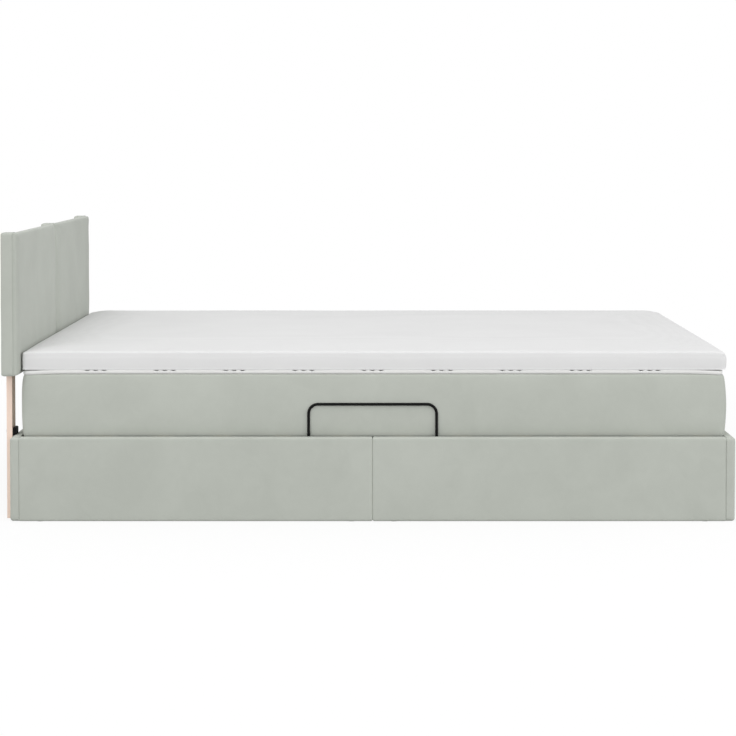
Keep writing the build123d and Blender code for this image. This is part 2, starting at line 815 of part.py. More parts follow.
def meets(first, second):
    """Whether the boxes round two shapes share any space."""
    a = first.bounding_box()
    b = second.bounding_box()
    return (a.min.X < b.max.X and b.min.X < a.max.X and a.min.Y < b.max.Y
            and b.min.Y < a.max.Y and a.min.Z < b.max.Z and b.min.Z < a.max.Z)


def drilled(shape, fasteners):
    """A shape with a hole for each fastener that enters it."""
    return without(shape, [fastener for fastener in fasteners if meets(shape, fastener)])


base_fasteners = wood_screws + corner_bolts
for (side_name, end_name), (board, cover) in side_halves.items():
    save(f"{side_name}_panel_{end_name}_board", drilled(board, base_fasteners))
    save(f"{side_name}_panel_{end_name}_cover", drilled(cover, base_fasteners))
for end_name, (board, cover) in end_panels.items():
    save(f"{end_name}_panel_board", drilled(board, base_fasteners))
    save(f"{end_name}_panel_cover", drilled(cover, base_fasteners))
save("joining_plates", *joining_plates)
save("corner_brackets", *corner_brackets)
save("corner_bolts", *corner_bolts)
save("wood_screws", *wood_screws)
save("support_battens", *support_battens)
save("floor_battens", *floor_battens)
save("floor_boards", *floor_boards)
save("glides", *glides)

save("lift_tube_near", tube_near)
save("lift_tube_far", tube_far)
save("lift_tube_centre", tube_centre)
save("lift_tube_head", tube_head)
save("lift_tube_foot", tube_foot)
save("lift_cross_tubes", *cross_tubes)
save("tube_caps", *tube_caps)
save("slats_near", *slats_near)
save("slats_far", *slats_far)
save("slat_holders", *slat_holders)
save("retaining_bar_near", bar_near)
save("retaining_bar_far", bar_far)
save("bar_saddles", *bar_saddles)
save("hinge_fixed_leaves", *fixed_leaves)
save("hinge_moving_leaves", *moving_leaves)
save("hinge_pins", *hinge_pins)
save("strut_foot_brackets", *foot_brackets)
save("strut_lift_brackets", *lift_brackets)
for end_name in ("head", "foot"):
    save(f"strut_cylinder_{end_name}", cylinders[end_name])
    save(f"strut_rod_{end_name}", rods[end_name])

save("mattress_core", mattress_core)
save("mattress_border", mattress_border)
save("mattress_top_panel", mattress_top_panel)
save("mattress_bottom_panel", mattress_bottom_panel)
save("topper", topper)

for side_name, (pad, board) in headboard_halves.items():
    save(f"headboard_pad_{side_name}", pad)
    save(f"headboard_board_{side_name}", drilled(board, wood_screws))
for rib_name, rib_solid in ribs.items():
    save(f"headboard_rib_{rib_name}", rib_solid)
for side_name, (leg, hook, bolt, nut, screws) in leg_sets.items():
    save(f"headboard_leg_{side_name}", leg)
save("leg_hooks", *[pieces[1] for pieces in leg_sets.values()])
save("leg_bolts", *[pieces[2] for pieces in leg_sets.values()])
save("leg_nuts", *[pieces[3] for pieces in leg_sets.values()])
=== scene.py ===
import json
import math

import bpy
import numpy as np
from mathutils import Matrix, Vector, noise

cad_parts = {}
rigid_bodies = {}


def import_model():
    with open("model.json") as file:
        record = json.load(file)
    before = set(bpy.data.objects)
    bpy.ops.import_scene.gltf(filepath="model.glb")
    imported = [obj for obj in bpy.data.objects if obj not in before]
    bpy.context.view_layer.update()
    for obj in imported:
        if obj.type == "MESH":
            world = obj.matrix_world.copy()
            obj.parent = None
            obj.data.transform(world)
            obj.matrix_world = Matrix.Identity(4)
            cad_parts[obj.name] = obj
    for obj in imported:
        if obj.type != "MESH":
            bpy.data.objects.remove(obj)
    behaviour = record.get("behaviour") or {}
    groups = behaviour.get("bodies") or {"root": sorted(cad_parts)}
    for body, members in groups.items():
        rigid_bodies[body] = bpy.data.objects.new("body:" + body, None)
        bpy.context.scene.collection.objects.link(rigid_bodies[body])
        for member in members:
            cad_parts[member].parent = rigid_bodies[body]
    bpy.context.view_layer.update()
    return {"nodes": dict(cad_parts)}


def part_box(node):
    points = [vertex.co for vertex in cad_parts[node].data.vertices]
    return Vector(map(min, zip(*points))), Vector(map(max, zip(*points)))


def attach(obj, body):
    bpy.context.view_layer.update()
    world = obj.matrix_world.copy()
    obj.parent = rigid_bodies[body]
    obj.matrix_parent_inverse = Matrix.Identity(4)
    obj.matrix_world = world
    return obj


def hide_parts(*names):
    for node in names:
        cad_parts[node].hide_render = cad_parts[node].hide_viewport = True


# A storage bed: velvet base and headboard, a lifting platform with mattress and topper.
# The frame holds the head at -X, the foot at +X and the lifting side at -Y.

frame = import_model()
nodes = frame["nodes"]
scene = bpy.context.scene
mm = 0.001
tiny = 1e-6  # a difference below this is only rounding

# Camera, from the photograph's 736 pixel frame
image_pixels = 736
focal_pixels = 2079.0
sensor_width = 36.0
camera_place = Vector((0.0287, -6.5774, 1.0583))
camera_tilt = 2.0
camera_shift_up = -0.2018
camera_shift_right = -0.0148
camera_clip = (0.1, 100.0)

# Light
sky_strength = 0.72
key_place = Vector((-2.0, -3.0, 5.4))
key_size = 3.5
key_power = 92.0
front_place = Vector((-3.0, -8.0, 2.2))
front_size = 4.0
front_power = 92.0
side_place = Vector((5.0, -3.0, 2.5))
side_size = 3.5
side_power = 84.0
lamp_target = Vector((0.0, 0.0, 0.4))

# Floor: its greys as the camera and as bounced light see them, and its shadow round the bed
floor_half = 30.0
floor_seen = 250
floor_bounced = 190
shadow_share = 0.25
shadow_near = 0.6
shadow_far = 3.2

# Mattress
mattress_corner = 16 * mm
seam_pinch = 1.5 * mm
seam_reach = 7 * mm
bulge_above = 4.7 * mm
bulge_below = 4.5 * mm
mattress_side_share = 0.35
foot_swell = 3 * mm
head_clearance = 0.15 * mm
corner_dip = 3.5 * mm
corner_reach = 55 * mm
border_pitch = 20 * mm
border_rows = 13
border_curve = 2.4
border_wall = 21 * mm
border_tuck = 1 * mm
border_wave = 1 * mm
channel_groups = 9
channels_in_group = 3
channel_pitch = 196.5 * mm
channel_spacing = 24 * mm
channel_depth = 5.5 * mm
channel_half_width = 4 * mm
quilt_rise = 3 * mm
quilt_hem = 2 * mm
quilt_roll_rows = 7
quilt_roll = 10.5 * mm
quilt_roll_out = 1.6 * mm
quilt_edge = 30 * mm
quilt_edge_sharpness = 3
quilt_edge_dent = 1.2 * mm
underside_overlap = 5 * mm
underside_draw = 1.5 * mm
core_slack = 1 * mm
core_radius = 12 * mm

# Topper
topper_corner = 12 * mm
topper_end_fall = 10.5 * mm
topper_end_reach = 70 * mm
topper_near_fall = 7 * mm
topper_near_reach = 420 * mm
topper_foot_swell = 4 * mm
topper_end_share = 0.45
topper_shoulder = 10 * mm
topper_shoulder_reach = 16 * mm
topper_edge_bulge = 2 * mm
topper_edge_curve = 2.5
topper_foot_curve = 6
topper_lip = 2 * mm
topper_lip_reach = 11 * mm
topper_wave = 0.8 * mm
topper_rows = (0, 2.5, 7, 14, 22, 30, 36, 40, 42)

# Covers
cover_wall = 2.8 * mm
cover_fold = 28 * mm
cover_fold_gap = 3 * mm
cover_rows = 11
cover_draw = 0.6 * mm
staple_pitch = 45 * mm
staple_inset = 18 * mm
staple_end = 70 * mm
staple_width = 10 * mm
staple_rise = 1.4 * mm
staple_wire = 0.9 * mm
side_cover_radius = (4.5 * mm, 2.8 * mm, 6 * mm)
end_cover_radius = 8 * mm
cover_swell = 1.2 * mm
cover_swell_reach = 45 * mm
cover_wave = 0.5 * mm
cover_wave_reach = 30 * mm

# Headboard
pad_radius = 7.5 * mm
pad_plump = 1.5 * mm
pad_end_depth = 12 * mm
pad_end_reach = 26 * mm
pad_seam_depth = 9 * mm
pad_seam_reach = 26 * mm
pad_dip_depth = 10 * mm
pad_dip_reach = 95 * mm
pad_draw_limit = 13 * mm
pad_rows = 11
pad_wave = 0.4 * mm
pad_clearance = 0.2 * mm
wrap_wall = 1.8 * mm
wrap_rise = 2 * mm
wrap_tuck = 2 * mm
wrap_bend = 2 * mm
wrap_gap = 0.5 * mm
wrap_back_rows = (8 * mm, 21 * mm, 30 * mm)
rib_radius = (6 * mm, 6 * mm, 7 * mm)
rib_swell = 1.2 * mm
rib_wave = 0.5 * mm
rib_cut_gap = 1 * mm


def colour(red, green, blue):
    """A display colour, 0 to 255 a channel, as the linear colour that a shader takes."""
    linear = []
    for channel in (red, green, blue):
        share = channel / 255
        linear.append(share / 12.92 if share <= 0.04045 else ((share + 0.055) / 1.055) ** 2.4)
    return (*linear, 1.0)


def grey(level):
    return colour(level, level, level)


# Shader building


class Amount:
    """A number socket that takes part in sums."""

    def __init__(self, finish, socket):
        self.finish = finish
        self.socket = socket

    def maths(self, operation, first, second):
        node = self.finish.node("ShaderNodeMath", {"operation": operation}, {0: first, 1: second})
        return Amount(self.finish, node.outputs[0])

    def __add__(self, other):
        return self.maths("ADD", self, other)

    __radd__ = __add__

    def __rsub__(self, other):
        return self.maths("SUBTRACT", other, self)

    def __mul__(self, other):
        return self.maths("MULTIPLY", self, other)

    def at_most(self, other):
        return self.maths("MINIMUM", self, other)


class Finish:
    """A node material while it is put together."""

    def __init__(self, name, tree=None):
        if tree is None:
            self.material = bpy.data.materials.new(name)
            self.material.use_nodes = True
            tree = self.material.node_tree
        self.tree = tree
        self.tree.nodes.clear()

    def node(self, kind, settings=None, inputs=None):
        """Adds a node, with its settings first and then the values or links of its sockets."""
        made = self.tree.nodes.new(kind)
        for name, setting in (settings or {}).items():
            setattr(made, name, setting)
        for name, value in (inputs or {}).items():
            if isinstance(value, Amount):
                value = value.socket
            if isinstance(value, bpy.types.NodeSocket):
                self.tree.links.new(value, made.inputs[name])
            else:
                made.inputs[name].default_value = value
        return made

    def place(self, scale=(1, 1, 1)):
        """The point on the piece, in metres, stretched for a pattern."""
        point = self.node("ShaderNodeTexCoord").outputs["Object"]
        if scale == (1, 1, 1):
            return point
        mapping = self.node("ShaderNodeMapping", None, {"Vector": point, "Scale": scale})
        return mapping.outputs["Vector"]

    def noise(self, scale, detail=2.0, distortion=0.0, place=None):
        node = self.node("ShaderNodeTexNoise", None, {
            "Vector": place or self.place(), "Scale": scale, "Detail": detail,
            "Distortion": distortion})
        return Amount(self, node.outputs["Fac"])

    def cells(self, scale):
        node = self.node("ShaderNodeTexVoronoi", None, {"Vector": self.place(), "Scale": scale})
        return Amount(self, node.outputs["Distance"])

    def bands(self, scale, direction, distortion, place=None):
        node = self.node("ShaderNodeTexWave", {"bands_direction": direction}, {
            "Vector": place or self.place(), "Scale": scale, "Distortion": distortion})
        return Amount(self, node.outputs["Fac"])

    def between(self, factor, first, second):
        """A colour that turns from the first to the second."""
        node = self.node("ShaderNodeMix", {"data_type": "RGBA"}, {0: factor, 6: first, 7: second})
        return node.outputs[2]

    def spread(self, value, low, high):
        """Widens the part of a value between low and high to 0 to 1."""
        node = self.node("ShaderNodeMapRange", None, {
            "Value": value, "From Min": low, "From Max": high})
        return Amount(self, node.outputs["Result"])

    def bump(self, height, distance, strength, under=None):
        inputs = {"Height": height, "Distance": distance, "Strength": strength}
        if under is not None:
            inputs["Normal"] = under
        return self.node("ShaderNodeBump", None, inputs).outputs["Normal"]

    def surface(self, **inputs):
        """The closing Principled shader; names have _ for a space."""
        named = {name.replace("_", " "): value for name, value in inputs.items()}
        shader = self.node("ShaderNodeBsdfPrincipled", None, named)
        self.node("ShaderNodeOutputMaterial", None, {"Surface": shader.outputs["BSDF"]})
        return self.material


def velvet_finish():
    """Short pile velvet: broad brushed patches, fine strokes and the grain of the pile."""
    finish = Finish("velvet")
    patches = finish.spread(finish.noise(5.0, detail=3.0, distortion=0.8), 0.3, 0.7)
    strokes = finish.spread(finish.noise(24.0, distortion=1.4), 0.25, 0.75)
    pile = finish.noise(1100.0, detail=1.0)
    lie = patches * 0.6 + strokes * 0.25 + pile * 0.15
    shade = finish.between(lie, colour(183, 187, 179), colour(193, 197, 189))
    under = finish.bump(strokes, 0.4 * mm, 0.3)
    return finish.surface(
        Base_Color=shade, Roughness=0.8 + patches * 0.12,
        Normal=finish.bump(pile, 0.35 * mm, 0.35, under),
        Sheen_Weight=0.18, Sheen_Roughness=0.35, Specular_IOR_Level=0.2)


def knit_finish(name, light, dark):
    """Fine white jersey with its rows of loops."""
    finish = Finish(name)
    along_x, along_y, along_z = (finish.bands(260.0, axis, distortion=0.6) for axis in "XYZ")
    knit = along_x * along_y * 0.6 + along_z * 0.4
    cloud = finish.noise(7.0, detail=3.0, distortion=0.4)
    shade = finish.between(knit * 0.5 + cloud * 0.5, dark, light)
    return finish.surface(
        Base_Color=shade, Roughness=0.9, Normal=finish.bump(knit, 0.3 * mm, 0.25),
        Sheen_Weight=0.08, Specular_IOR_Level=0.2)


def lining_finish():
    """Non-woven lining: pressed dimples over tangled fibres."""
    finish = Finish("lining")
    dimples = finish.spread(finish.cells(420.0), 0.1, 0.5)
    fibres = finish.noise(300.0, detail=4.0, distortion=2.0)
    shade = finish.between(fibres, colour(58, 59, 61), colour(96, 97, 98))
    return finish.surface(
        Base_Color=shade, Roughness=0.95, Specular_IOR_Level=0.2,
        Normal=finish.bump(dimples * 0.7 + fibres * 0.3, 0.3 * mm, 0.5))


def foam_finish():
    finish = Finish("foam")
    pores = finish.cells(500.0)
    shade = finish.between(finish.noise(30.0), colour(226, 219, 196), colour(238, 233, 214))
    return finish.surface(
        Base_Color=shade, Roughness=0.95, Specular_IOR_Level=0.2,
        Normal=finish.bump(pores, 0.5 * mm, 0.5))


def wood_finish(name, light, dark, stretch, rings=22.0, rough=0.55):
    """Sawn wood: rings drawn out along the grain, with fine pores."""
    finish = Finish(name)
    along = finish.place(stretch)
    bow = finish.noise(2.2, distortion=0.3, place=along)
    figure = finish.bands(rings, "DIAGONAL", distortion=2.5, place=along)
    pores = finish.noise(60.0, detail=3.0, place=along)
    grain = figure * 0.45 + bow * 0.25 + pores * 0.3
    shade = finish.between(finish.spread(grain, 0.2, 0.85), light, dark)
    return finish.surface(
        Base_Color=shade, Roughness=rough + pores * 0.15, Normal=finish.bump(pores, 0.2 * mm, 0.3))


def board_finish():
    """Raw particle board: pale and dark chips pressed together."""
    finish = Finish("particle_board")
    chips = finish.node("ShaderNodeTexVoronoi", None, {
        "Vector": finish.place(), "Scale": 210.0})
    tone = Amount(finish, finish.node("ShaderNodeSeparateColor", None, {
        "Color": chips.outputs["Color"]}).outputs["Red"])
    height = Amount(finish, chips.outputs["Distance"])
    dust = finish.noise(700.0)
    shade = finish.between(tone * 0.7 + dust * 0.3, colour(176, 146, 106), colour(214, 190, 152))
    return finish.surface(
        Base_Color=shade, Roughness=0.85, Normal=finish.bump(height, 0.3 * mm, 0.4))


def hardboard_finish():
    finish = Finish("hardboard")
    fibres = finish.noise(160.0, detail=4.0, distortion=0.6)
    cloud = finish.noise(9.0, detail=3.0)
    shade = finish.between(fibres * 0.5 + cloud * 0.5, colour(124, 88, 58), colour(158, 118, 82))
    return finish.surface(
        Base_Color=shade, Roughness=0.45 + fibres * 0.2, Normal=finish.bump(fibres, 0.1 * mm, 0.3))


def coated_finish(name, tone, rough=0.4, grain=520.0, gloss=0.45):
    """Powder coat: even colour over a faint orange peel."""
    finish = Finish(name)
    peel = finish.noise(grain)
    cloud = finish.noise(18.0)
    lifted = tuple(min(1.0, channel * 1.25 + 0.004) for channel in tone[:3]) + (1.0,)
    shade = finish.between(cloud * 0.6 + peel * 0.4, tone, lifted)
    return finish.surface(
        Base_Color=shade, Roughness=rough + cloud * 0.12, Normal=finish.bump(peel, 0.12 * mm, 0.35),
        Specular_IOR_Level=gloss)


def metal_finish(name, tone, rough, brushed=(1, 1, 1)):
    finish = Finish(name)
    lines = finish.noise(260.0, detail=3.0, place=finish.place(brushed))
    spangle = finish.cells(130.0)
    shade = finish.between(lines * 0.5 + spangle * 0.5, tone, colour(222, 224, 226))
    return finish.surface(
        Base_Color=shade, Metallic=1.0, Roughness=rough + lines * 0.14,
        Normal=finish.bump(lines, 0.05 * mm, 0.3))


velvet = velvet_finish()
topper_knit = knit_finish("topper_knit", grey(232), grey(222))
quilt_knit = knit_finish("quilt_knit", colour(233, 233, 231), colour(225, 225, 223))
lining = lining_finish()
foam = foam_finish()
felt = coated_finish("felt", colour(196, 198, 194), 0.9, grain=900.0)
pine = wood_finish("pine", colour(255, 238, 224), colour(242, 208, 190), (14, 14, 1))
batten_tones = (colour(234, 208, 174), colour(206, 168, 126))
pine_along_x = wood_finish("pine_along_x", *batten_tones, (1, 14, 14))
pine_along_y = wood_finish("pine_along_y", *batten_tones, (14, 1, 14))
birch = wood_finish(
    "birch", colour(232, 208, 172), colour(212, 182, 140), (18, 1, 18), rings=30.0, rough=0.4)
particle_board = board_finish()
hardboard = hardboard_finish()
bar_coat = coated_finish("bar_coat", grey(3), 0.38, gloss=0.1)
black_steel = coated_finish("black_steel", colour(6, 6, 7), 0.5, gloss=0.15)
frame_coat = coated_finish("frame_coat", colour(42, 43, 46), 0.5)
black_plastic = coated_finish("black_plastic", colour(26, 26, 28), 0.55, grain=240.0)
zinc = metal_finish("zinc", colour(168, 170, 172), 0.36)
rod_chrome = metal_finish("rod_chrome", colour(196, 198, 200), 0.14, (40, 40, 1))

# Meshes on grids


def graded(low, high, fine, coarse):
    """Grid lines from low to high that lie close together at both ends."""
    growth = 1.4
    half = (high - low) / 2
    steps = [0.0]
    step = fine
    while steps[-1] + step < half - coarse / 2:
        steps.append(steps[-1] + step)
        step = min(step * growth, coarse)
    steps.append(half)
    first = [low + value for value in steps]
    last = [high - value for value in steps[-2::-1]]
    return np.array(first + last)


def lattice(lines, filled=None):
    """The skin of the filled cells between grid lines: its points and its outward quads."""
    if filled is None:
        filled = np.ones([len(line) - 1 for line in lines], bool)
    places = {}
    points = []
    faces = []
    for axis in range(3):
        across, up = (axis + 1) % 3, (axis + 2) % 3
        empty = [(1, 1) if i == axis else (0, 0) for i in range(3)]
        steps = np.diff(np.pad(filled.astype(int), empty), axis=axis)
        for cell in np.argwhere(steps != 0):
            quad = []
            for ahead_across, ahead_up in ((0, 0), (1, 0), (1, 1), (0, 1)):
                place = cell.copy()
                place[across] += ahead_across
                place[up] += ahead_up
                place = tuple(place)
                if place not in places:
                    places[place] = len(points)
                    points.append([lines[i][place[i]] for i in range(3)])
                quad.append(places[place])
            faces.append(quad if steps[tuple(cell)] < 0 else quad[::-1])
    return np.array(points), faces


def with_cuts(lines, cuts, gap):
    """Grid lines with a line at each cut, and no other line closer to a cut than the gap."""
    kept = [line for line in lines if all(abs(line - cut) > gap for cut in cuts)]
    return np.array(sorted([*kept, *cuts]))


def without_loose(points, faces):
    """Drops the points that no face uses."""
    used = sorted({index for face in faces for index in face})
    place = {index: count for count, index in enumerate(used)}
    return points[used], [[place[index] for index in face] for face in faces]


def round_plan(x, y, half_x, half_y, radius):
    """Bends the corners of a rectangle in plan onto quarter circles."""
    over_x = np.maximum(np.abs(x) - (half_x - radius), 0)
    over_y = np.maximum(np.abs(y) - (half_y - radius), 0)
    bent_x = over_x * np.sqrt(1 - over_y ** 2 / (2 * radius ** 2))
    bent_y = over_y * np.sqrt(1 - over_x ** 2 / (2 * radius ** 2))
    return np.sign(x) * (np.abs(x) - over_x + bent_x), np.sign(y) * (np.abs(y) - over_y + bent_y)


def rescale(reach, wanted):
    """The factor that brings each length to the wanted one, and 0 where there is no length."""
    least = 1e-9
    return np.where(reach > least, wanted / np.maximum(reach, least), 0)


def round_edges(points, low, high, radius, square_side=None):
    """Rounds the edges of a box, apart from those of one side that stays square."""
    radius = np.broadcast_to(np.asarray(radius, float), 3)
    inner_low = low + radius
    inner_high = high - radius
    if square_side is not None:
        axis, sign = square_side
        (inner_high if sign > 0 else inner_low)[axis] += sign * 2 * radius[axis]
    near = np.clip(points, inner_low, inner_high)
    away = (points - near) / radius
    scale = rescale(np.linalg.norm(away, axis=1), np.abs(away).max(axis=1))
    return near + away * scale[:, None] * radius


def fallen(share):
    """How far a rounded shoulder has fallen: 1 at its foot, 0 from its full reach on."""
    return 1 - np.sqrt(1 - (1 - np.clip(share, 0, 1)) ** 2)


def ripple(points, size, seed):
    """Smooth noise from -1 to 1 at each point, for the unevenness of cloth."""
    offset = Vector((seed, seed / 2, -seed))
    return np.array([noise.noise(Vector(point) / size + offset) for point in points])


def put(name, data):
    """Adds an object to the scene."""
    made = bpy.data.objects.new(name, data)
    scene.collection.objects.link(made)
    return made


def piece(name, points, faces, material, body):
    """A mesh object at the origin, with its place in its points."""
    mesh = bpy.data.meshes.new(name)
    mesh.from_pydata([tuple(point) for point in points], [], faces)
    mesh.materials.append(material)
    mesh.shade_smooth()
    made = put(name, mesh)
    made["rides_on"] = body
    return made


def points_of(mesh):
    flat = np.empty(len(mesh.vertices) * 3, np.float32)
    mesh.vertices.foreach_get("co", flat)
    return flat.reshape(-1, 3).astype(float)


def set_points(thing, points):
    thing.data.vertices.foreach_set("co", points.astype(np.float32).ravel())
    thing.data.update()


def subdivide(thing):
    modifier = thing.modifiers.new("smooth", "SUBSURF")
    modifier.levels = 1
    modifier.render_levels = 1


def thicken(thing, thickness):
    """Gives a sheet a wall on its inner side."""
    wall = thing.modifiers.new("wall", "SOLIDIFY")
    wall.thickness = thickness
    wall.offset = -1


def bake(thing):
    """Turns what a piece's modifiers make into its plain mesh."""
    graph = bpy.context.evaluated_depsgraph_get()
    made = bpy.data.meshes.new_from_object(thing.evaluated_get(graph))
    thing.modifiers.clear()
    thing.data = made


def puff(thing, sewn, pressure, cap, stiffness=12.0, bending=0.6):
    """Swells a padded piece with the cloth solver; no point moves further than the cap."""
    last_frame = 20
    start = points_of(thing.data)
    group = thing.vertex_groups.new(name="sewn")
    group.add([int(index) for index in np.flatnonzero(sewn)], 1.0, "REPLACE")
    modifier = thing.modifiers.new("cloth", "CLOTH")
    cloth = modifier.settings
    cloth.quality = 5
    cloth.mass = 0.35
    cloth.use_pressure = True
    cloth.uniform_pressure_force = pressure
    cloth.tension_stiffness = stiffness
    cloth.compression_stiffness = stiffness
    cloth.shear_stiffness = stiffness / 2
    cloth.bending_stiffness = bending
    cloth.effector_weights.gravity = 0
    cloth.vertex_group_mass = "sewn"
    modifier.collision_settings.use_collision = False
    modifier.point_cache.frame_start = 1
    modifier.point_cache.frame_end = last_frame
    for moment in range(1, last_frame + 1):
        scene.frame_set(moment)
    graph = bpy.context.evaluated_depsgraph_get()
    moved = points_of(thing.evaluated_get(graph).to_mesh()) - start
    thing.evaluated_get(graph).to_mesh_clear()
    thing.modifiers.remove(modifier)
    thing.vertex_groups.remove(group)
    scene.frame_set(1)
    reach = np.linalg.norm(moved, axis=1)
    held = cap * np.tanh(reach / cap)
    set_points(thing, start + moved * rescale(reach, held)[:, None])
    print(f"{thing.name}: cloth moved {reach.max() / mm:.1f} mm, held to {held.max() / mm:.1f} mm")


def box_of(node):
    low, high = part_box(node)
    return np.array(low), np.array(high)


# Mattress

border_low, border_high = box_of("mattress_border")
mattress_centre_x = (border_low[0] + border_high[0]) / 2
bed_centre_x = box_of("near_panel_head_cover")[1][0]
mattress_half = (border_high - border_low) / 2
seam_top = border_high[2]
seam_bottom = border_low[2]
border_middle = (seam_top + seam_bottom) / 2


def border_inset(height):
    """How far the velvet lies inside the mattress's widest line at a height."""
    share = np.abs(height - border_middle) / (seam_top - border_middle)
    bulge = np.where(height > border_middle, bulge_above, bulge_below)
    return bulge * share ** border_curve + seam_pinch * np.exp(-(seam_top - height) / seam_reach)


seam_inset = float(border_inset(np.array(seam_top)))


def cornerness(x, y, half):
    """1 at the corners of a rectangle about the origin, falling off over the corners' reach."""
    off = np.hypot(half[0] - np.abs(x), half[1] - np.abs(y))
    return np.exp(-(off / corner_reach) ** 2)


def outline(half, radius, pitch):
    """Points round a rounded rectangle and their outward directions."""
    places, directions = [], []
    straight = (half[0] - radius, half[1] - radius)
    arc_steps = 6
    for quarter in range(4):
        angle = quarter * math.pi / 2
        sign_x = 1 if quarter in (0, 3) else -1
        sign_y = 1 if quarter in (0, 1) else -1
        centre = np.array([sign_x * straight[0], sign_y * straight[1]])
        for step in range(arc_steps + 1):
            turn = angle + step / arc_steps * math.pi / 2
            direction = np.array([math.cos(turn), math.sin(turn)])
            places.append(centre + radius * direction)
            directions.append(direction)
        run = 2 * (straight[0] if quarter in (0, 2) else straight[1])
        run_steps = round(run / pitch)
        along = np.array([-directions[-1][1], directions[-1][0]])
        start = places[-1]
        lines = graded(0, run, pitch / 4, run / run_steps)
        for distance in lines[1:-1]:
            places.append(start + distance * along)
            directions.append(directions[-1])
    return np.array(places), np.array(directions)


def make_border():
    """The velvet band round the mattress: a closed ring whose outer wall swells."""
    places, directions = outline(mattress_half, mattress_corner, border_pitch)
    heights = np.linspace(seam_top, seam_bottom, border_rows)
    section = [(float(border_inset(height)), height) for height in heights]
    for height in (seam_bottom + border_tuck, border_middle, seam_top - border_tuck):
        section.append((border_wall, height))
    foot = np.maximum(directions[:, 0], 0) * foot_swell
    dip = corner_dip * cornerness(places[:, 0], places[:, 1], mattress_half)
    flatter = mattress_side_share + (1 - mattress_side_share) * directions[:, 0] ** 2
    points = []
    for inset, height in section:
        upward = (height - border_middle) / (seam_top - border_middle)
        ring = places - directions * inset * flatter[:, None]
        ring[:, 0] += foot * (1 - np.abs(upward))
        level = height - dip * np.clip(upward, 0, 1)
        points.append(np.column_stack([ring[:, 0] + mattress_centre_x, ring[:, 1], level]))
    count = len(places)
    faces = []
    for row in range(len(section)):
        below = (row + 1) % len(section)
        for column in range(count):
            ahead = (column + 1) % count
            faces.append([row * count + column, below * count + column,
                          below * count + ahead, row * count + ahead])
    border = piece("mattress_velvet", np.vstack(points), faces, velvet, "lift_platform")
    sewn = np.ones(len(section) * count, bool)
    sewn[count:(border_rows - 1) * count] = False
    puff(border, sewn, pressure=2.0, cap=4 * mm)
    points = points_of(border.data)
    wave = ripple(points, size=0.16, seed=3.0) * ~sewn * border_wave
    outward = np.tile(np.column_stack([directions, np.zeros(count)]), (len(section), 1))
    points = points + outward * wave[:, None]
    points[:, 0] = np.maximum(points[:, 0], border_low[0] + head_clearance)
    set_points(border, points)
    subdivide(border)
    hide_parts("mattress_border")


def about_zero(count, pitch):
    """Even steps, as many on either side of 0."""
    return [(i - (count - 1) / 2) * pitch for i in range(count)]


def channel_centres():
    """Where the sewn channels lie along the bed: a row for each group."""
    return np.array([
        [bed_centre_x + group + channel
         for channel in about_zero(channels_in_group, channel_spacing)]
        for group in about_zero(channel_groups, channel_pitch)])


def quilt_lines(low, high):
    """Grid lines across the sewn channels, close together at each one."""
    lines = set()
    for centre in channel_centres().ravel():
        for offset in (-2.5, -1.2, -0.5, 0, 0.5, 1.2, 2.5):
            lines.add(round(float(centre + offset * channel_half_width), 6))
    for line in graded(low, high, fine=1.2 * mm, coarse=24 * mm):
        if min(abs(line - other) for other in lines) > channel_half_width:
            lines.add(round(float(line), 6))
    return np.array(sorted(lines))


def off_nearest(places, centres):
    """The distance from each place to the nearest of the centres."""
    return np.abs(places[:, None] - centres[None, :]).min(axis=1)


def make_quilt():
    """The white quilted top, sewn down along its channels and drawn in at the border's seam."""
    half = mattress_half[:2] - seam_inset * np.array([1, mattress_side_share])
    top = box_of("mattress_top_panel")[1][2]
    xs = quilt_lines(mattress_centre_x - half[0], mattress_centre_x + half[0])
    ys = graded(-half[1], half[1], fine=1.2 * mm, coarse=26 * mm)
    roll_top = seam_top - quilt_hem + quilt_roll
    zs = np.linspace(seam_top - quilt_hem, roll_top, quilt_roll_rows)
    points, faces = lattice((xs, ys, zs))
    upper = points[:, 2] > roll_top - tiny
    level = (points[:, 2] - zs[0]) / quilt_roll
    flat_x = points[:, 0] - mattress_centre_x
    edge = np.minimum(half[0] - np.abs(flat_x), half[1] - np.abs(points[:, 1]))
    share = np.clip(edge / quilt_edge, 0, 1)
    crown = 1 - (1 - share) ** quilt_edge_sharpness
    centres = channel_centres()
    dent = np.exp(-(off_nearest(points[:, 0], centres.ravel()) / channel_half_width) ** 2)
    off_group = off_nearest(points[:, 0], centres.mean(axis=1))
    puffed = np.clip((off_group - channel_spacing) / (channel_pitch / 2 - channel_spacing), 0, 1)
    swell = quilt_rise * (np.sin(puffed * math.pi / 2) - 1)
    rise = (top - roll_top + swell) * crown - channel_depth * dent
    points[:, 2] = np.where(upper, points[:, 2] + rise, points[:, 2])
    points[:, 2] -= corner_dip * cornerness(flat_x, points[:, 1], half)
    rolled = quilt_roll_out * (1 - (2 * level - 1) ** 2) - quilt_edge_dent * dent
    rolled = rolled * (edge < tiny)
    new_x, new_y = round_plan(flat_x, points[:, 1], half[0], half[1], mattress_corner)
    points[:, 0] = new_x * (1 + rolled / half[0]) + mattress_centre_x
    points[:, 1] = new_y * (1 + rolled / half[1])
    quilt = piece("mattress_quilt", points, faces, quilt_knit, "lift_platform")
    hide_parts("mattress_top_panel")


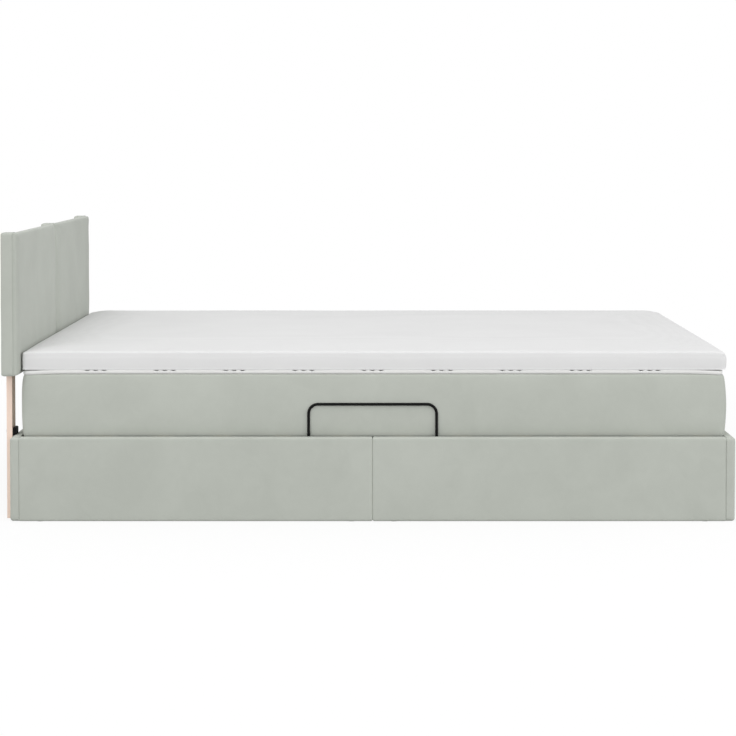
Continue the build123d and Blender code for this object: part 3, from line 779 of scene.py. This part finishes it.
def make_underside():
    """The lined underside of the mattress."""
    low, high = box_of("mattress_bottom_panel")
    half = (high - low)[:2] / 2 - seam_inset + underside_overlap
    middle = (low[2] + high[2]) / 2
    xs, ys = (graded(-reach, reach, fine=3 * mm, coarse=60 * mm) for reach in half)
    points, faces = lattice((xs, ys, np.array([low[2], middle, high[2]])))
    drawn = np.abs(points[:, 2] - middle) / (high[2] - middle)
    scale = 1 - drawn * underside_draw / half[0]
    new_x, new_y = round_plan(points[:, 0], points[:, 1], half[0], half[1], mattress_corner)
    points[:, 0] = new_x * scale + mattress_centre_x
    points[:, 1] = new_y * scale
    under = piece("mattress_underside", points, faces, lining, "lift_platform")
    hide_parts("mattress_bottom_panel")


def make_core():
    """The foam block inside the mattress."""
    low, high = box_of("mattress_core")
    low, high = low + core_slack, high - core_slack
    lines = [graded(low[axis], high[axis], fine=4 * mm, coarse=90 * mm) for axis in range(3)]
    points, faces = lattice(lines)
    points = round_edges(points, low, high, core_radius)
    core = piece("mattress_foam", points, faces, foam, "lift_platform")
    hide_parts("mattress_core")


def make_topper():
    """The white topper: upright sides, rounded shoulders, a top lower at its ends and near side."""
    low, high = box_of("topper")
    centre = (low + high) / 2
    half = (high - low) / 2
    xs, ys = (graded(-reach, reach, fine=2 * mm, coarse=24 * mm) for reach in half[:2])
    points, faces = lattice((xs, ys, np.array(topper_rows) / topper_rows[-1]))
    share = points[:, 2].copy()
    upper = share > 1 - tiny
    edge_x = half[0] - np.abs(points[:, 0])
    edge_y = half[1] - np.abs(points[:, 1])
    fall = np.hypot(
        topper_end_fall * (1 - np.clip(edge_x / topper_end_reach, 0, 1)) ** 2,
        topper_near_fall * (1 - np.clip((points[:, 1] + half[1]) / topper_near_reach, 0, 1)) ** 2)
    end_shoulder = fallen(edge_x / (topper_shoulder_reach * topper_end_share)) * topper_end_share
    shoulder = np.maximum(end_shoulder, fallen(edge_y / topper_shoulder_reach))
    top = high[2] - fall - topper_shoulder * shoulder
    points[:, 2] = low[2] + share * (top - low[2])
    off_middle = np.abs(2 * share - 1)
    drawn = topper_edge_bulge * off_middle ** topper_edge_curve
    on_edge_x = edge_x < tiny
    on_edge_y = edge_y < tiny
    new_x, new_y = round_plan(points[:, 0], points[:, 1], half[0], half[1], topper_corner)
    new_x -= np.sign(new_x) * drawn * on_edge_x
    at_foot = on_edge_x * (new_x > 0)
    new_x += topper_foot_swell * (1 - off_middle ** topper_foot_curve) * at_foot
    new_y -= np.sign(new_y) * drawn * on_edge_y
    lip = 1 - np.clip(np.minimum(edge_x, edge_y) / topper_lip_reach, 0, 1)
    points[:, 2] -= topper_lip * lip * (1 - share)
    points[:, 0] = new_x + centre[0]
    points[:, 1] = new_y + centre[1]
    topper = piece("topper_cover", points, faces, topper_knit, "lift_platform")
    puff(topper, share < tiny, pressure=1.5, cap=3 * mm, stiffness=15.0, bending=2.0)
    points = points_of(topper.data)
    points[:, 2] += np.where(upper, ripple(points, size=0.35, seed=7.0) * topper_wave, 0)
    points[:, 1] += np.where(on_edge_y, ripple(points, size=0.22, seed=11.0) * topper_wave, 0)
    points[:, 0] = np.maximum(points[:, 0], low[0] + head_clearance)
    set_points(topper, points)
    subdivide(topper)
    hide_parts("topper")


# Velvet covers of the base panels


def make_cover(node, name, axis, sign, radius, seed):
    """Velvet over a panel's outer face and four edges, folded in behind and stapled there."""
    low, high = box_of(node)
    lines = [graded(low[i], high[i], fine=1.6 * mm, coarse=26 * mm) for i in range(3)]
    lines[axis] = np.linspace(low[axis], high[axis], cover_rows)
    others = [i for i in range(3) if i != axis]
    for i in others:
        folds = (low[i] + cover_fold, high[i] - cover_fold)
        lines[i] = with_cuts(lines[i], folds, cover_fold_gap)
    points, faces = lattice(lines)
    inner, outer = (low[axis], high[axis]) if sign > 0 else (high[axis], low[axis])

    def edge_of(points):
        return np.minimum.reduce(
            [np.minimum(points[:, i] - low[i], high[i] - points[:, i]) for i in others])

    inside = (np.abs(points[:, axis] - inner) < tiny) & (edge_of(points) > cover_fold - tiny)
    faces = [face for face in faces if not inside[face].all()]
    flat, faces = without_loose(points, faces)
    points = round_edges(flat, low, high, radius, (axis, -sign))
    on_back = np.abs(flat[:, axis] - inner) < tiny
    on_face = np.abs(flat[:, axis] - outer) < tiny
    edge = edge_of(flat)
    swell = cover_swell * (1 - np.exp(-edge / cover_swell_reach))
    fading = np.clip(edge / cover_wave_reach, 0, 1)
    wave = ripple(flat, size=0.13, seed=seed) * cover_wave * fading
    points[:, axis] += sign * ((swell + wave) * on_face - cover_draw * (1 + on_back))
    cover = piece(name, points, faces, velvet, "base")
    thicken(cover, cover_wall)
    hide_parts(node)


def make_covers():
    panels = [
        (f"{side_name}_panel_{end_name}", 1, sign, side_cover_radius)
        for side_name, sign in (("near", -1), ("far", 1)) for end_name in ("head", "foot")]
    panels += [
        (f"{end_name}_panel", 0, sign, end_cover_radius)
        for end_name, sign in (("head", -1), ("foot", 1))]
    for i, (panel, axis, sign, radius) in enumerate(panels):
        make_cover(f"{panel}_cover", f"{panel}_velvet", axis, sign, radius, seed=20.0 + 5 * i)


def staple_tree():
    """Bent wire staples at even steps along lines, flat on the face that each line lies on."""
    tree = bpy.data.node_groups.new("staples", "GeometryNodeTree")
    for name, kind in (("Lines", "Geometry"), ("Pitch", "Float"), ("Width", "Float"),
                       ("Rise", "Float"), ("Wire", "Float"), ("Metal", "Material")):
        tree.interface.new_socket(name, in_out="INPUT", socket_type=f"NodeSocket{kind}")
    tree.interface.new_socket("Staples", in_out="OUTPUT", socket_type="NodeSocketGeometry")
    making = Finish("staples", tree)
    given = making.node("NodeGroupInput").outputs
    line = making.node("GeometryNodeMeshToCurve", None, {"Mesh": given["Lines"]})
    steps = making.node("GeometryNodeResampleCurve", {"mode": "LENGTH"}, {
        "Curve": line.outputs["Curve"], "Length": given["Pitch"]})
    along = making.node("FunctionNodeAlignRotationToVector", {"axis": "X"}, {
        "Vector": making.node("GeometryNodeInputTangent").outputs["Tangent"]})
    facing = making.node("GeometryNodeInputNamedAttribute", {"data_type": "FLOAT_VECTOR"}, {
        "Name": "facing"})
    turned = making.node("FunctionNodeAlignRotationToVector", {"axis": "Z", "pivot_axis": "X"}, {
        "Rotation": along.outputs["Rotation"], "Vector": facing.outputs["Attribute"]})
    half = Amount(making, given["Width"]) * 0.5
    rise = Amount(making, given["Rise"])

    def corner(x, z):
        return making.node("ShaderNodeCombineXYZ", None, {"X": x, "Z": z}).outputs["Vector"]

    bend = making.node("GeometryNodeCurvePrimitiveBezierSegment", {"mode": "POSITION"}, {
        "Resolution": 8,
        "Start": corner(half * -1, rise * -1), "Start Handle": corner(half * -1, rise),
        "End Handle": corner(half, rise), "End": corner(half, rise * -1)})
    wire = making.node("GeometryNodeCurvePrimitiveCircle", None, {
        "Resolution": 5, "Radius": Amount(making, given["Wire"]) * 0.5})
    staple = making.node("GeometryNodeCurveToMesh", None, {
        "Curve": bend.outputs["Curve"], "Profile Curve": wire.outputs["Curve"], "Fill Caps": True})
    laid = making.node("GeometryNodeInstanceOnPoints", None, {
        "Points": steps.outputs["Curve"], "Instance": staple.outputs["Mesh"],
        "Rotation": turned.outputs["Rotation"]})
    real = making.node("GeometryNodeRealizeInstances", None, {
        "Geometry": laid.outputs["Instances"]})
    metal = making.node("GeometryNodeSetMaterial", None, {
        "Geometry": real.outputs["Geometry"], "Material": given["Metal"]})
    making.node("NodeGroupOutput", None, {"Staples": metal.outputs["Geometry"]})
    return tree


def staple_lines():
    """The staples' lines: points, the direction that they face, and whether the line closes."""
    runs = []
    for side_name, sign in (("near", -1), ("far", 1)):
        for end_name in ("head", "foot"):
            runs.append(fold_line(f"{side_name}_panel_{end_name}_cover", 1, sign))
        for end_name, turn in (("top", -1), ("bottom", 1)):
            low, high = box_of(f"headboard_board_{side_name}")
            z = (high[2] if turn < 0 else low[2]) + turn * staple_inset
            x = low[0] - wrap_gap
            ends = [(x, low[1] + staple_end, z), (x, high[1] - staple_end, z)]
            runs.append((ends, (-1, 0, 0), False))
    for end_name, sign in (("head", -1), ("foot", 1)):
        runs.append(fold_line(f"{end_name}_panel_cover", 0, sign))
    return runs


def fold_line(node, axis, sign):
    """The rectangle along which a cover's fold is stapled to the back of its panel."""
    low, high = box_of(node)
    depth = (low[axis] if sign > 0 else high[axis]) - sign * cover_draw
    across, up = [i for i in range(3) if i != axis]
    line = []
    for right, top in ((0, 0), (1, 0), (1, 1), (0, 1)):
        point = [depth] * 3
        point[across] = high[across] - staple_inset if right else low[across] + staple_inset
        point[up] = high[up] - staple_inset if top else low[up] + staple_inset
        line.append(tuple(point))
    facing = [0, 0, 0]
    facing[axis] = -sign
    return line, tuple(facing), True


def make_staples():
    """All the staples of the covers, as one piece."""
    points, edges, facings = [], [], []
    for line, facing, closed in staple_lines():
        first = len(points)
        points += line
        facings += [facing] * len(line)
        edges += [(first + i, first + i + 1) for i in range(len(line) - 1)]
        if closed:
            edges.append((len(points) - 1, first))
    mesh = bpy.data.meshes.new("cover_staples")
    mesh.from_pydata(points, edges, [])
    attribute = mesh.attributes.new("facing", "FLOAT_VECTOR", "POINT")
    attribute.data.foreach_set("vector", np.array(facings, np.float32).ravel())
    staples = put("cover_staples", mesh)
    tree = staple_tree()
    modifier = staples.modifiers.new("staples", "NODES")
    modifier.node_group = tree
    values = {"Pitch": staple_pitch, "Width": staple_width, "Rise": staple_rise,
              "Wire": staple_wire, "Metal": zinc}
    for socket in tree.interface.items_tree:
        if socket.name in values:
            modifier[socket.identifier] = values[socket.name]
    bake(staples)
    staples["rides_on"] = "base"


# Headboard


def make_pad(side_name):
    """A padded half of the headboard: round at its end and drawn in deeply at the middle seam."""
    node = f"headboard_pad_{side_name}"
    low, high = box_of(node)
    low[0] = box_of(f"headboard_board_{side_name}")[1][0]
    high[2] += pad_plump
    flat, faces = lattice([
        np.linspace(low[0], high[0], pad_rows),
        graded(low[1], high[1], fine=1.6 * mm, coarse=16 * mm),
        graded(low[2], high[2], fine=2 * mm, coarse=18 * mm)])
    points = round_edges(flat, low, high, pad_radius, (0, -1))
    to_seam = np.abs(flat[:, 1])
    to_end = np.maximum(high[1], -low[1]) - to_seam
    share = (flat[:, 0] - low[0]) / (high[0] - low[0])
    drawn = pad_seam_depth * fallen(to_seam / pad_seam_reach)
    drawn += pad_dip_depth * (1 - np.clip(to_seam / pad_dip_reach, 0, 1)) ** 2
    drawn += pad_end_depth * fallen(to_end / pad_end_reach)
    points[:, 0] -= np.minimum(drawn, pad_draw_limit) * share
    points[:, 1] = np.where(to_seam < pad_radius, flat[:, 1], points[:, 1])
    pad = piece(f"headboard_{side_name}_velvet", points, faces, velvet, "base")
    puff(pad, flat[:, 0] < low[0] + tiny, pressure=1.2, cap=2 * mm)
    points = points_of(pad.data)
    front = np.abs(flat[:, 0] - high[0]) < tiny
    points[:, 0] += front * (ripple(flat, size=0.12, seed=40.0 + low[1]) - 1) * pad_wave
    points[:, 0] = np.minimum(points[:, 0], high[0] - pad_clearance)
    points[:, 1] = np.clip(points[:, 1], low[1], high[1])
    set_points(pad, points)
    subdivide(pad)
    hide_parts(node)


def make_wrap(side_name, end_name):
    """The velvet drawn over the top or the bottom edge of a headboard board and down its back."""
    low, high = box_of(f"headboard_board_{side_name}")
    sign = 1 if end_name == "top" else -1
    edge = high[2] + wrap_rise if sign > 0 else low[2] - wrap_rise
    profile = [(high[0] + wrap_tuck, edge), (high[0], edge), ((low[0] + high[0]) / 2, edge)]
    bend_steps = 4
    for step in range(bend_steps + 1):
        turn = step / bend_steps * math.pi / 2
        profile.append((
            low[0] + wrap_bend - (wrap_bend + wrap_gap) * math.sin(turn),
            edge - sign * wrap_bend * (1 - math.cos(turn))))
    profile += [(low[0] - wrap_gap, edge - sign * row) for row in wrap_back_rows]
    ys = graded(low[1], high[1], fine=4 * mm, coarse=24 * mm)
    points = np.array([(x, y, z) for x, z in profile for y in ys])
    count = len(ys)
    faces = []
    for row in range(len(profile) - 1):
        for column in range(count - 1):
            start = row * count + column
            quad = [start, start + 1, start + count + 1, start + count]
            faces.append(quad if sign > 0 else quad[::-1])
    wrap = piece(f"headboard_{side_name}_{end_name}_wrap", points, faces, velvet, "base")
    thicken(wrap, wrap_wall)
    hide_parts(f"headboard_pad_{side_name}")


def make_rib(rib_name):
    """An upholstered upright behind the boards; it covers their ends and comes over their tops."""
    node = f"headboard_rib_{rib_name}"
    low, high = box_of(node)
    board_low, board_high = box_of("headboard_board_near")
    end = -board_low[1]
    board_top = board_high[2] + wrap_rise
    lines = []
    for axis, faces_of_board in enumerate(((board_low[0],), (-end, end), (board_top,))):
        cuts = [face for face in faces_of_board if low[axis] < face < high[axis]]
        free = graded(low[axis], high[axis], fine=1.6 * mm, coarse=14 * mm)
        lines.append(with_cuts(free, cuts, rib_cut_gap))
    middle = [(line[1:] + line[:-1]) / 2 for line in lines]
    x, y, z = np.meshgrid(*middle, indexing="ij")
    filled = ~((x > board_low[0]) & (np.abs(y) < end) & (z < board_top))
    flat, faces = lattice(lines, filled)
    points = round_edges(flat, low, high, rib_radius, (0, 1))
    on_back = np.abs(flat[:, 0] - low[0]) < tiny
    swell = rib_swell + rib_wave * ripple(flat, size=0.07, seed=60.0 + low[1])
    points[:, 0] -= on_back * swell
    rib = piece(f"headboard_{rib_name}_upright_velvet", points, faces, velvet, "base")
    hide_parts(node)


# Finishes of the pieces that the frame carries


def dress(material, *names):
    for name in names:
        for material_slot in nodes[name].material_slots:
            material_slot.material = material


def dress_frame():
    for side_name in ("near", "far"):
        for end_name in ("head", "foot"):
            dress(particle_board, f"{side_name}_panel_{end_name}_board")
        dress(particle_board, f"headboard_board_{side_name}")
        dress(pine, f"headboard_leg_{side_name}")
        dress(bar_coat, f"retaining_bar_{side_name}")
        dress(birch, f"slats_{side_name}")
        dress(frame_coat, f"lift_tube_{side_name}")
    for end_name in ("head", "foot"):
        dress(particle_board, f"{end_name}_panel_board")
        dress(black_steel, f"strut_cylinder_{end_name}")
        dress(rod_chrome, f"strut_rod_{end_name}")
        dress(frame_coat, f"lift_tube_{end_name}")
    dress(frame_coat, "lift_tube_centre", "lift_cross_tubes")
    dress(pine_along_x, "support_battens")
    dress(pine_along_y, "floor_battens")
    dress(hardboard, "floor_boards")
    dress(black_steel, "leg_hooks", "leg_bolts", "leg_nuts", "bar_saddles")
    dress(frame_coat, "strut_lift_brackets")
    dress(
        zinc, "corner_brackets", "joining_plates", "corner_bolts", "wood_screws",
        "strut_foot_brackets", "hinge_fixed_leaves", "hinge_moving_leaves", "hinge_pins")
    dress(black_plastic, "tube_caps", "slat_holders")
    dress(felt, "glides")


# Floor, light and camera


def seen_directly(finish):
    """1 where the camera, a reflection or clear matter looks, and 0 for light that bounces."""
    path = finish.node("ShaderNodeLightPath")
    camera_ray, glossy_ray, clear_ray = (
        Amount(finish, path.outputs[name])
        for name in ("Is Camera Ray", "Is Glossy Ray", "Is Transmission Ray"))
    return (camera_ray + glossy_ray + clear_ray).at_most(1.0)


def make_floor():
    """A pale floor that keeps a faint shadow near the bed and turns white further off."""
    corners = [(x * floor_half, y * floor_half, 0) for x, y in ((-1, -1), (1, -1), (1, 1), (-1, 1))]
    mesh = bpy.data.meshes.new("floor")
    mesh.from_pydata(corners, [], [(0, 1, 2, 3)])
    finish = Finish("floor")
    distance = finish.node("ShaderNodeVectorMath", {"operation": "LENGTH"}, {0: finish.place()})
    nearness = finish.spread(Amount(finish, distance.outputs["Value"]), shadow_far, shadow_near)
    white = seen_directly(finish) * (1 - nearness * shadow_share)
    tone = finish.between(seen_directly(finish), grey(floor_bounced), grey(floor_seen))
    plain = finish.node("ShaderNodeBsdfDiffuse", None, {"Color": tone})
    bright = finish.node("ShaderNodeEmission", None, {"Color": (1, 1, 1, 1), "Strength": 1.0})
    mixed = finish.node("ShaderNodeMixShader", None, {
        0: white, 1: plain.outputs[0], 2: bright.outputs[0]})
    finish.node("ShaderNodeOutputMaterial", None, {"Surface": mixed.outputs[0]})
    mesh.materials.append(finish.material)
    put("floor", mesh)


def make_sky():
    world = bpy.data.worlds.new("studio")
    scene.world = world
    world.use_nodes = True
    finish = Finish("studio", world.node_tree)
    seen = seen_directly(finish)
    strength = seen + (1 - seen) * sky_strength
    light = finish.node("ShaderNodeBackground", None, {"Color": (1, 1, 1, 1), "Strength": strength})
    finish.node("ShaderNodeOutputWorld", None, {"Surface": light.outputs[0]})


def make_lamp(name, place, size, power):
    lamp = bpy.data.lights.new(name, "AREA")
    lamp.shape = "SQUARE"
    lamp.size = size
    lamp.energy = power
    holder = put(name, lamp)
    holder.location = place
    holder.rotation_euler = (lamp_target - place).to_track_quat("-Z", "Y").to_euler()


def make_camera():
    data = bpy.data.cameras.new("camera")
    data.sensor_width = sensor_width
    data.lens = focal_pixels * sensor_width / image_pixels
    data.shift_x = camera_shift_right
    data.shift_y = camera_shift_up
    data.clip_start, data.clip_end = camera_clip
    camera = put("camera", data)
    camera.location = camera_place
    camera.rotation_euler = (math.radians(90 - camera_tilt), 0, 0)
    scene.camera = camera


make_border()
make_quilt()
make_underside()
make_core()
make_topper()
make_covers()
for side_name in ("near", "far"):
    make_pad(side_name)
    make_wrap(side_name, "top")
    make_wrap(side_name, "bottom")
for rib_name in ("near", "middle", "far"):
    make_rib(rib_name)
make_staples()
dress_frame()

for thing in list(scene.objects):
    if "rides_on" in thing:
        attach(thing, thing["rides_on"])

make_floor()
make_sky()
make_lamp("key", key_place, key_size, key_power)
make_lamp("front", front_place, front_size, front_power)
make_lamp("side", side_place, side_size, side_power)
make_camera()
scene.view_settings.view_transform = "Standard"
